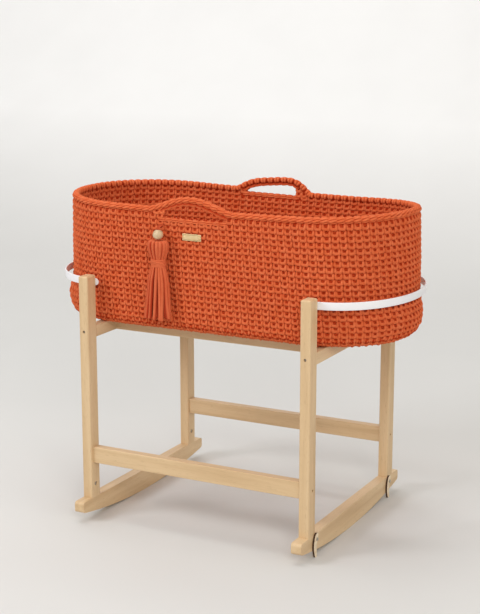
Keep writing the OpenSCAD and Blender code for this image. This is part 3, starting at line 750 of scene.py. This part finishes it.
def rim_posts(shape, line, start, end):
    """Upright strands on the inner side of the rim, in pairs with a dark slot between the pairs."""
    count = max(1, round((end - start) / STITCH_W))
    pitch = (end - start) / count
    middle = start + (np.arange(count)[:, None] + 0.5) * pitch + rng.normal(0, 0.5 * MM, (count, 1))
    t = np.linspace(0, 1, 8)
    turn = np.radians(108 + 110 * t)
    for side in (-1, 1):
        distance = middle + side * (3.6 - 1.1 * np.clip(2 * t - 0.9, 0, 1)) * MM
        reach = RIM_CORE_R + np.interp(t, [0, 0.35, 1], [-0.8, 0.7, 0.9]) * MM
        path, outward = line.round_it(distance, turn + 0 * distance, reach + 0 * distance)
        # Painted shade at both ends of each post, where it tucks in, times a random tone
        tone = np.interp(t, [0, 0.2, 0.75, 1], [0.7, 1.0, 1.0, 0.5]) * rng.normal(0.95, 0.04, (count, 1))
        radius = np.interp(t, [0, 0.3, 0.7, 1], [3.4, 3.9, 3.2, 2.4]) * MM
        tubes(shape, path, outward, radius, 6, 1.0, np.clip(tone, 0, 1))


def wall_line(u, radius, z):
    """Line round the basket at a plan radius and a height."""
    _, out_x, out_y = oval(np.mod(u, PERIMETER), BASKET_R)
    return round_point(u, radius, z), np.stack([out_x, out_y, 0 * u], axis=-1)


def rim_line(first, last, count):
    """The middle of the rim's plait, which rises over the handles."""
    points, outward = wall_line(np.linspace(first, last, count), BASKET_R - RIM_IN, RIM_MIDDLE)
    points[:, 2] += handle_rise(points)
    return Line(points, outward)


def make_rim():
    """The plaited edge in four lengths: front handle, right, back handle and left."""
    front = (FRONT.x - FRONT.half, FRONT.x + FRONT.half)
    back = (back_u(BACK.x + BACK.half), back_u(BACK.x - BACK.half))
    lengths = [
        ("front_handle_plait", front[0], front[1], "front_handle", FRONT),
        ("right_rim_plait", front[1], back[0], "right_rim_braid", None),
        ("back_handle_plait", back[0], back[1], "back_handle", BACK),
        ("left_rim_plait", back[1], PERIMETER + front[0], "left_rim_braid", None),
    ]
    margin = STITCH_W
    for name, first, last, node, handle in lengths:
        shape = Shape()
        line = rim_line(first - margin, last + margin, 500)
        start, end = margin, line.length - margin
        for turn, radius, slant in RIM_ROWS:
            slanted_row(shape, line, start, end, turn, RIM_CORE_R, radius, slant)
        rim_posts(shape, line, start, end)
        core_cord(shape, line, start - 3 * MM, end + 3 * MM, 160, RIM_CORE_R - 0.4 * MM, 10)
        if handle:
            add_slot_edges(shape, handle)
        piece = ride(shape.build(name, crochet, settle), "basket")
        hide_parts(node)


def add_slot_edges(shape, handle):
    """A crocheted chain along the foot of the finger slot, and two more rows of strands under the bar."""
    ends = [handle.slot_x - handle.slot_half, handle.slot_x + handle.slot_half]
    if handle.side > 0:
        ends = [back_u(ends[1]), back_u(ends[0])]
    chain_r, margin = 3.9 * MM, 8 * MM
    u = np.linspace(ends[0] - margin, ends[1] + margin, 120)
    foot = Line(*wall_line(u, BASKET_R - WALL_T / 2, handle.foot - 4.6 * MM))
    for turn, thick in ((-22, 2.3), (38, 2.4), (90, 2.6), (142, 2.4), (202, 2.3)):
        slanted_row(shape, foot, 3 * MM, foot.length - 3 * MM, math.radians(turn), chain_r,
                    thick * MM, 0.7 * MM, 0.8)
    core_cord(shape, foot, 0, foot.length, 40, chain_r, 8)
    bar = rim_line(ends[0] - 10 * MM, ends[1] + 10 * MM, 240)
    for turn in (-112, -72):
        slanted_row(shape, bar, 2 * MM, bar.length - 2 * MM, math.radians(turn), 10.2 * MM,
                    2.9 * MM, 0.8 * MM)
    core_cord(shape, bar, 0, bar.length, 80, 3.6 * MM, 8, 7.6 * MM)


make_rim()

# ---- underside of the basket


def make_bottom():
    """Rounds of stitches under the basket."""
    shape = Shape()
    outer = floor_high.y
    rounds = int((outer - 4 * MM) / ROW_H)
    for index in range(rounds):
        middle_r = outer - (index + 0.2) * ROW_H
        count = round((4 * BASKET_C + 2 * math.pi * middle_r) / STITCH_W)
        share0 = (np.arange(count)[:, None] + 0.3 * index) / count
        for keys, _ in stitch_parts(5):
            radius = np.maximum(middle_r + keys[:, 1] * ROW_H, 2 * MM)
            flat = oval_point(share0 + keys[:, 0] / count, radius + 0 * share0, 0)
            path = flat + np.array([0, 0, BASKET_Z]) - (keys[:, 2] + 0.6)[:, None] * MM * np.array([0, 0, 1])
            # Painted shade: strands set deeper into the bottom are darker, times a random tone
            tone = np.clip((keys[:, 2] + 7.8) / 3.6, 0, 1) * rng.normal(0.95, 0.05, (count, 1))
            tubes(shape, path, np.array([0, 0, -1.0]), keys[:, 3] * MM, 5, 1.0, np.clip(tone, 0, 1))
    piece = ride(shape.build("bottom_stitches", crochet, settle), "basket")
    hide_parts("basket_floor")


def make_bottom_web():
    """Ribbed web over the bottom's stitches, on the inside, painted in shade."""
    shape = Shape()
    columns, rows = 360, 80
    share = np.arange(columns) / columns
    radii = np.linspace(floor_high.y + 6 * MM, 0.5 * MM, rows)
    ribs = floor_high.z - 1.4 * MM + 0.9 * MM * np.sin(2 * math.pi * radii / ROW_H)
    top = [oval_point(share, radius, z) for radius, z in zip(radii, ribs)]
    under = [oval_point(share, radius, BASKET_Z + 6.2 * MM) for radius in radii[::-1]]
    shape.add(np.array(top + under), [grid_faces(2 * rows, columns, True, True)], shade=0.55)
    ride(shape.build("bottom_web", crochet, settle), "basket")


make_bottom()
make_bottom_web()

# ---- tassel

loop_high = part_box("tassel_loop")[1]
bead_low, bead_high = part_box("tassel_bead")
head_low, head_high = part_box("tassel_head")
wrap_low, wrap_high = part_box("tassel_wrap")
skirt_low, skirt_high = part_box("tassel_skirt")
TASSEL_X = (bead_low.x + bead_high.x) / 2
TASSEL_Y = (bead_low.y + bead_high.y) / 2
HEAD_A, HEAD_B = (head_high.x - head_low.x) / 2, (head_high.y - head_low.y) / 2
WRAP_A, WRAP_B = (wrap_high.x - wrap_low.x) / 2, HEAD_B * 0.82
SKIRT_A = (skirt_high.x - skirt_low.x) / 2


def make_tassel_loop():
    """Doubled cord that comes out of a stitch and bends down into the bead."""
    root_y = -BASKET_R + 3 * MM
    top = loop_high.z - 3.2 * MM
    shape = Shape()
    for side in (-1, 1):
        keys = [(side * 1.5, root_y, top + 0.5 * MM), (side * 1.7, (root_y + TASSEL_Y) / 2, top + 1.2 * MM),
                (side * 1.9, TASSEL_Y + 3.0 * MM, top - 0.4 * MM), (side * 1.8, TASSEL_Y, top - 3.6 * MM),
                (side * 1.5, TASSEL_Y, bead_high.z - 3 * MM)]
        path = curve_through([(TASSEL_X + x * MM, y, z) for x, y, z in keys], 18)
        tubes(shape, path[None], np.array([1.0, 0, 0]), 1.75 * MM, 8, 1.0, 0.85)
    piece = ride(shape.build("tassel_hanging_loop", tassel_cord), "tassel_loop")
    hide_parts("tassel_loop")


def make_bead():
    """Turned bead: a slightly flattened ball with an eased bore, and the cord that fills it, painted in shade
    (0.7) where it shows in the bore.
    """
    ball_r, bore_r = (bead_high.x - bead_low.x) / 2, 3 * MM
    start = math.asin(bore_r / ball_r)
    turn = np.linspace(start, math.pi - start, 22)
    outer = [(ball_r * math.sin(a), 0.97 * ball_r * math.cos(a)) for a in turn]
    lip = outer[-1][1] * 0.93
    profile = [(bore_r * 0.92, -lip)] + outer + [(bore_r * 0.92, lip)]
    angle = np.linspace(0, 2 * math.pi, 40, endpoint=False)
    middle = (bead_low.z + bead_high.z) / 2
    points = np.array([[(TASSEL_X + r * math.cos(a), TASSEL_Y + r * math.sin(a), middle + z) for a in angle]
                       for r, z in profile])
    shape = Shape()
    shape.add(points, [grid_faces(len(profile), 40, True, True)[:, ::-1]])
    piece = ride(shape.build("turned_bead", bead_material()), "tassel")
    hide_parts("tassel_bead")
    cords = Shape()
    for side in (-1, 1):
        z = np.linspace(bead_high.z - 4 * MM, head_high.z - 5 * MM, 8)
        path = np.stack([TASSEL_X + side * 1.3 * MM + 0 * z, TASSEL_Y + 0 * z, z], axis=-1)
        tubes(cords, path[None], np.array([0, -1.0, 0]), 1.6 * MM, 8, 1.0, 0.7)
    ride(cords.build("bead_cord", tassel_cord), "tassel")


def strand_round(angle, a, b, z, drift=0.0):
    """Points about the tassel's middle, on level ovals of half widths a and b at the heights z."""
    return np.stack([TASSEL_X + a * np.cos(angle) + drift, TASSEL_Y + b * np.sin(angle), z], axis=-1)


def away_from_middle(path):
    """Level directions from the tassel's middle to the points of a path."""
    return unit((path - (TASSEL_X, TASSEL_Y, 0)) * (1, 1, 0))


def make_tassel_head():
    """Cords folded over the tie: up from the neck, over square shoulders and in to the middle."""
    shape = Shape()
    count = 15
    height = head_high.z - wrap_high.z
    levels = np.array([-0.10, 0.06, 0.24, 0.50, 0.74, 0.89, 0.965, 0.985])
    spread = np.array([0.66, 0.68, 0.82, 0.93, 0.955, 0.86, 0.60, 0.18])
    for index in range(count):
        angle = 2 * math.pi * (index + 0.5 + rng.uniform(-0.12, 0.12)) / count
        z = wrap_high.z + levels * height - 3.2 * MM * (levels > 0.9)
        swing = angle + rng.normal(0, 0.05) * (levels - 0.3)
        a = (HEAD_A - 3.6 * MM) * spread
        b = (HEAD_B - 3.4 * MM) * np.minimum(spread * 1.05, 1)
        path = curve_through(strand_round(swing, a, b, z), 16)
        middle = np.array([TASSEL_X, TASSEL_Y, wrap_high.z + 0.35 * height])
        radius = np.interp(np.linspace(0, 1, 16), [0, 0.2, 0.5, 0.85, 1], [2.7, 3.3, 4.3, 4.1, 2.6]) * MM
        tubes(shape, path[None], unit(path - middle)[None], radius, 9, 1.06, 0.93)
    # Core between the folded cords, painted in shade (0.25) where it shows between them
    core_z = wrap_high.z + levels * height * 0.93
    core = curve_through(strand_round(0 * levels, 0, 0, core_z), 12)
    core_r = np.interp(np.linspace(0, 1, 12), [0, 0.3, 0.8, 1], [8, 10, 10, 6]) * MM
    tubes(shape, core[None], np.array([0, -1.0, 0]), core_r, 16, 1.5, 0.25)
    piece = ride(shape.build("tassel_folded_cords", tassel_cord), "tassel")
    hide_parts("tassel_head")


def make_tassel_wrap():
    """Binding wound round the neck: turns side by side with one that crosses over the others."""
    shape = Shape()

    def wind(angle, inset_a, inset_b, z, radius, tone):
        path = strand_round(angle, WRAP_A - inset_a * MM, WRAP_B - inset_b * MM, z)
        tubes(shape, path[None], away_from_middle(path)[None], radius * MM, 8, 1.0, tone)

    turns = 5
    t = np.linspace(0, turns * 2 * math.pi, turns * 40)
    height = wrap_high.z - wrap_low.z
    z = wrap_high.z - 2.2 * MM - (height - 4.6 * MM) * t / t[-1] + 0.5 * MM * np.sin(2.3 * t)
    wind(t + 2.2, 2.2, 2.0, z, 2.35, 0.95)
    t = np.linspace(0, 2 * math.pi, 48)
    wind(t, 0.9, 0.6, (wrap_high.z + wrap_low.z) / 2 + 4.6 * MM * np.cos(t - 4.2), 1.9, 1.0)
    piece = ride(shape.build("tassel_binding", tassel_cord), "tassel")
    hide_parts("tassel_wrap")


def make_tassel_skirt():
    """Loose cut cords: an outer ring that shows and a core of shorter ones behind it, painted in shade."""
    shape = Shape()
    top, foot = skirt_high.z, skirt_low.z
    levels = np.array([1.05, 0.93, 0.76, 0.52, 0.28, 0.10, 0.0])
    spread = np.array([0.0, 0.20, 0.48, 0.66, 0.82, 0.93, 1.0])
    cord_r, edge = 4.0 * MM, 3.9 * MM
    thickness = np.interp(np.linspace(0, 1, 20), [0, 0.25, 0.95, 1], [0.66, 0.92, 1.0, 0.93])
    drift = -3.0 * MM * spread
    for ring, (count, reach) in enumerate(((16, 1.0), (10, 0.62), (5, 0.25))):
        neck_a, neck_b = WRAP_A * 0.80 * reach, WRAP_B * 0.72 * reach
        for index in range(count):
            angle = 2 * math.pi * (index + 0.5 * ring + rng.uniform(-0.2, 0.2)) / count
            length = 1 - rng.uniform(0, 0.05) - (0.03 if ring else 0)
            z = top - (top - foot) * (1 - levels) * length
            a = neck_a + ((SKIRT_A - edge) * reach * rng.uniform(0.95, 1.0) - neck_a) * spread
            b = neck_b + ((HEAD_B - edge) * reach - neck_b) * spread
            tall, pitch, start = rng.uniform(0.8, 2.8), rng.uniform(3, 7), rng.uniform(0, 6)
            wave = tall * MM * np.sin(levels * pitch + start) * spread
            swing = angle + rng.normal(0, 0.13) * spread ** 2
            inside = np.clip(a + wave, -SKIRT_A + edge, SKIRT_A - edge)
            path = curve_through(strand_round(swing, inside * 0.96, b, z, drift), 20)
            # Painted shade: the inner rings of cords are shaded to 0.5; the outer ring has a random tone
            tone = rng.uniform(0.88, 1.0) if ring == 0 else 0.5
            tubes(shape, path[None], away_from_middle(path)[None], thickness * cord_r, 9, 1.05, tone)
    piece = ride(shape.build("tassel_loose_cords", tassel_cord), "tassel")
    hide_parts("tassel_skirt")


make_tassel_loop()
make_bead()
make_tassel_head()
make_tassel_wrap()
make_tassel_skirt()

# ---- label plate and rivets


def rounded_outline(half_w, half_h, radius, steps=6):
    """Corner points of a rectangle with round corners."""
    corners = ((1, 1, 0), (-1, 1, 90), (-1, -1, 180), (1, -1, 270))
    points = []
    for sx, sy, start in corners:
        for i in range(steps + 1):
            a = math.radians(start + 90 * i / steps)
            points.append((sx * (half_w - radius) + radius * math.cos(a),
                           sy * (half_h - radius) + radius * math.sin(a)))
    return np.array(points)


def make_label():
    """Blank plate with eased edges and a stamped line just inside them."""
    low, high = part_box("label_plate")
    half_w, half_h = (high.x - low.x) / 2, (high.z - low.z) / 2
    thick = high.y - low.y
    centre = np.array([(low.x + high.x) / 2, high.y, (low.z + high.z) / 2])
    # Inset in millimetres, height as a share of the thickness, and whether it is bright
    steps = [(0.0, 0.0, 1), (0.0, 0.8, 1), (0.15, 0.93, 1), (0.4, 1.0, 1), (1.5, 1.0, 1), (1.75, 0.72, 0),
             (2.05, 0.72, 0), (2.3, 1.0, 1), (4.5, 1.06, 1)]
    rows, shades = [], []
    for inset, out, shade in steps:
        outline = rounded_outline(half_w - inset * MM, half_h - inset * MM, max(1.5 - inset * 0.4, 0.3) * MM)
        rows.append([centre + (x, -out * thick, z) for x, z in outline])
        shades.append(np.full(len(outline), float(shade)))
    size = (len(rows), len(rows[0]))
    shape = Shape()
    shape.add(np.array(rows), [grid_faces(*size, True), end_caps(*size)], shade=np.concatenate(shades))
    piece = ride(shape.build("blank_label", brass, smooth=False), "basket")
    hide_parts("label_plate")
    low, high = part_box("label_rivets")
    head_r, middle_z = (high.z - low.z) / 2, (low.z + high.z) / 2
    rivets = Shape()
    profile = [(1.5 * MM, 7.6 * MM), (1.5 * MM, 1.0 * MM), (head_r, 1.0 * MM), (head_r, 0.7 * MM),
               (head_r * 0.85, 0.3 * MM), (head_r * 0.5, 0.04 * MM), (0.1 * MM, 0)]
    size = (len(profile), 24)
    angle = np.linspace(0, 2 * math.pi, size[1], endpoint=False)
    for x in (low.x + head_r, high.x - head_r):
        points = np.array([[(x + r * math.cos(a), low.y + y, middle_z + r * math.sin(a)) for a in angle]
                           for r, y in profile])
        rivets.add(points, [grid_faces(*size, True), end_caps(*size)])
    piece = ride(rivets.build("label_rivet_heads", brass), "basket")
    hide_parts("label_rivets")


brass = brass_material()
make_label()

# ---- bedding


def make_mattress():
    """Padded mattress with a crowned top, bulging sides, piping on both edges and soft dimples."""
    end_r = mattress_high.y
    centre_z = (mattress_low.z + mattress_high.z) / 2
    rim_z = (mattress_high.z - mattress_low.z) / 2 - 3.2 * MM
    columns = 320
    share = np.arange(columns) / columns
    side = [(end_r + 2.6 * MM * (1 - level ** 2) - 3.0 * MM, centre_z + level * rim_z)
            for level in np.linspace(-1, 1, 15)]
    top = [(end_r * r - 3.0 * MM * r, centre_z + rim_z + 3.0 * MM * (1 - r ** 6))
           for r in np.linspace(1, 0.002, 46)[1:]]
    under = [(r, 2 * centre_z - z + 2.2 * MM * (1 - (r / end_r) ** 6)) for r, z in top]
    profile = under[::-1] + side + top
    points = np.array([oval_point(share, max(r, 0.2 * MM), z) for r, z in profile])
    x, y = points[..., 0], points[..., 1]
    inner = np.clip(1 - np.abs(y) / end_r, 0, 1)
    dimples = 0.8 * MM * np.sin(x * 61 + 2 * np.sin(y * 23)) * np.sin(y * 47 + 1.3)
    ripple = dimples + 0.5 * MM * np.sin(x * 133 + y * 91)
    is_top = points[..., 2] > centre_z + rim_z
    points[..., 2] += np.where(is_top, ripple * np.clip(inner * 4, 0, 1) - 0.6 * MM, 0)
    shape = Shape()
    shape.add(points, [grid_faces(len(profile), columns, True), end_caps(len(profile), columns)])
    piece = ride(shape.build("padded_mattress", cotton), "mattress")
    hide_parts("mattress")
    piping = Shape()
    ring = np.arange(12) * math.pi / 6
    for level in (-1, 1):
        line = oval_point(share, end_r - 2.6 * MM, centre_z + level * rim_z)
        ahead = unit(line - np.roll(line, 1, axis=0))
        across = np.stack([ahead[:, 1], -ahead[:, 0], 0 * share], axis=-1)
        round_it = np.cos(ring)[:, None] * across[:, None] + np.sin(ring)[:, None] * np.array([0, 0, 1.0])
        tube = line[:, None] + 2.2 * MM * round_it
        piping.add(tube, [grid_faces(columns, 12, True, True)])
    ride(piping.build("mattress_piping", cotton), "mattress")


cotton = cotton_material()
make_mattress()

# ---- bent bands


def make_band(node, side):
    """Lacquered bent strip with eased edges and round ends that lie flat on the legs."""
    low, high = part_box(node)
    reach = high.x if side > 0 else -low.x
    tip = low.x if side > 0 else -high.x
    half_h, thick, edge = (high.z - low.z) / 2, 3.0 * MM, 0.9 * MM
    middle_z, leg_y = (low.z + high.z) / 2, high.y
    bend_x = 265 * MM
    turn = np.linspace(-math.pi / 2, math.pi / 2, 72)
    grow = np.array([0.012, 0.08, 0.2, 0.38, 0.62, 0.86, 1.0])
    straight_x = tip + half_h * (1 - np.sqrt(1 - grow ** 2))
    centre = [(x, -leg_y + thick / 2) for x in straight_x]
    centre += [(bend_x + (reach - thick / 2 - bend_x) * math.cos(a), (leg_y - thick / 2) * math.sin(a))
               for a in turn]
    centre += [(x, leg_y - thick / 2) for x in straight_x[::-1]]
    heights = np.concatenate([grow, np.ones(len(turn)), grow[::-1]]) * half_h
    centre = np.array(centre)
    tangent = unit(np.gradient(centre, axis=0))
    outward = np.stack([tangent[:, 1], -tangent[:, 0]], axis=-1)
    section = []
    for sx, sz, start in ((1, 1, 0), (-1, 1, 90), (-1, -1, 180), (1, -1, 270)):
        for step in range(4):
            a = math.radians(start + 30 * step)
            section.append((sx * (thick / 2 - edge) + edge * math.cos(a), sz, edge * math.sin(a)))
    rows = []
    for (x, y), (ox, oy), height in zip(centre, outward, heights):
        rows.append([(side * (x + d * ox), y + d * oy, middle_z + sz * max(height - edge, 0.1 * MM) + dz)
                     for d, sz, dz in section])
    size = (len(rows), len(section))
    faces, caps = grid_faces(*size, True), end_caps(*size)[:, ::-1]
    if side > 0:
        faces, caps = faces[:, ::-1], caps[:, ::-1]
    shape = Shape()
    shape.add(np.array(rows), [faces, caps])
    piece = ride(shape.build(node + "_bent", white), "stand")
    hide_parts(node)


white = band_material()
make_band("left_band", -1)
make_band("right_band", 1)

# ---- finishes on the CAD's own pieces


def finish(material, *nodes):
    """Puts a material on CAD nodes, which keep their own shape."""
    for node in nodes:
        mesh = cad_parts[node].data
        mesh.materials.clear()
        mesh.materials.append(material)


def finish_stand():
    for grain, seed, names in (
        ("Z", 3, ("front_left_leg", "front_right_leg", "back_left_leg", "back_right_leg")),
        ("Y", 11, ("left_rocker", "right_rocker", "left_cross_rail", "right_cross_rail")),
        ("X", 21, ("front_lower_rail", "back_lower_rail", "front_support_rail", "back_support_rail")),
    ):
        for index, name in enumerate(names):
            finish(wood_material("beech_" + name, grain, seed + index), name)
    finish(wood_material("beech_dowels", "X", 31, 0.9), "rail_dowels")
    finish(steel_material("dull_zinc", (0.36, 0.33, 0.29), 0.38), "lower_rail_screws", "cross_rail_screws")
    finish(steel_material("bright_zinc", (0.55, 0.53, 0.49), 0.3),
           "rocker_bolts", "barrel_nuts", "band_screws", "stopper_screws")
    finish(plywood_material("laser_cut_plywood", True), "front_stopper", "back_stopper")
    finish(plywood_material("base_plywood", False), "base_board")


finish_stand()

# ---- studio


def make_studio():
    """Seamless pale paper: floor that curves up into a wall behind the stand."""
    depth_front, depth_back, half_width, height, bend = 5.0, 4.4, 6.0, 5.5, 2.6
    turn = np.linspace(0, math.pi / 2, 24)
    y = np.concatenate([[-depth_front], depth_back - bend + bend * np.sin(turn), [depth_back]])
    z = np.concatenate([[0], bend - bend * np.cos(turn), [height]])
    x = np.array([-half_width, half_width])
    points = np.array([[(px, py, pz) for px in x] for py, pz in zip(y, z)])
    shape = Shape()
    shape.add(points, [grid_faces(len(y), 2)])
    # The floor colour is painted shade and the wall colour painted light, on one paper
    floor = shape.build("studio_floor", studio_material("studio", (0.665, 0.66, 0.64), (0.90, 0.895, 0.88)))


def area_light(name, place, target, size, power, colour):
    data = bpy.data.lights.new(name, "AREA")
    data.shape = "RECTANGLE"
    data.size, data.size_y = size
    data.energy = power
    data.color = colour
    light = bpy.data.objects.new(name, data)
    light.location = place
    light.rotation_euler = (Vector(target) - Vector(place)).to_track_quat("-Z", "Y").to_euler()
    bpy.context.scene.collection.objects.link(light)


def make_world():
    world = bpy.data.worlds.new("world")
    world.use_nodes = True
    background = world.node_tree.nodes["Background"]
    background.inputs["Color"].default_value = (1.0, 0.98, 0.95, 1)
    background.inputs["Strength"].default_value = 0.52
    bpy.context.scene.world = world
    bpy.context.scene.view_settings.view_transform = "Standard"


make_studio()
make_world()
area_light("key", (-2.1, -2.6, 2.4), (0, 0, 0.45), (1.3, 1.0), 50, (0.93, 0.95, 1.0))
area_light("fill", (1.9, -2.9, 2.3), (0, 0, 0.4), (1.4, 1.2), 40, (1.0, 0.97, 0.93))
area_light("side", (3.3, -0.9, 1.1), (0, 0, 0.3), (1.6, 1.6), 14, (1.0, 0.97, 0.93))
area_light("top", (-0.2, -0.3, 3.6), (0, 0, 0.4), (2.4, 1.8), 34, (1.0, 0.99, 0.97))
area_light("backdrop", (-2.9, 2.2, 4.9), (-2.9, 4.4, 2.0), (5.0, 1.2), 84, (0.98, 0.98, 1.0))
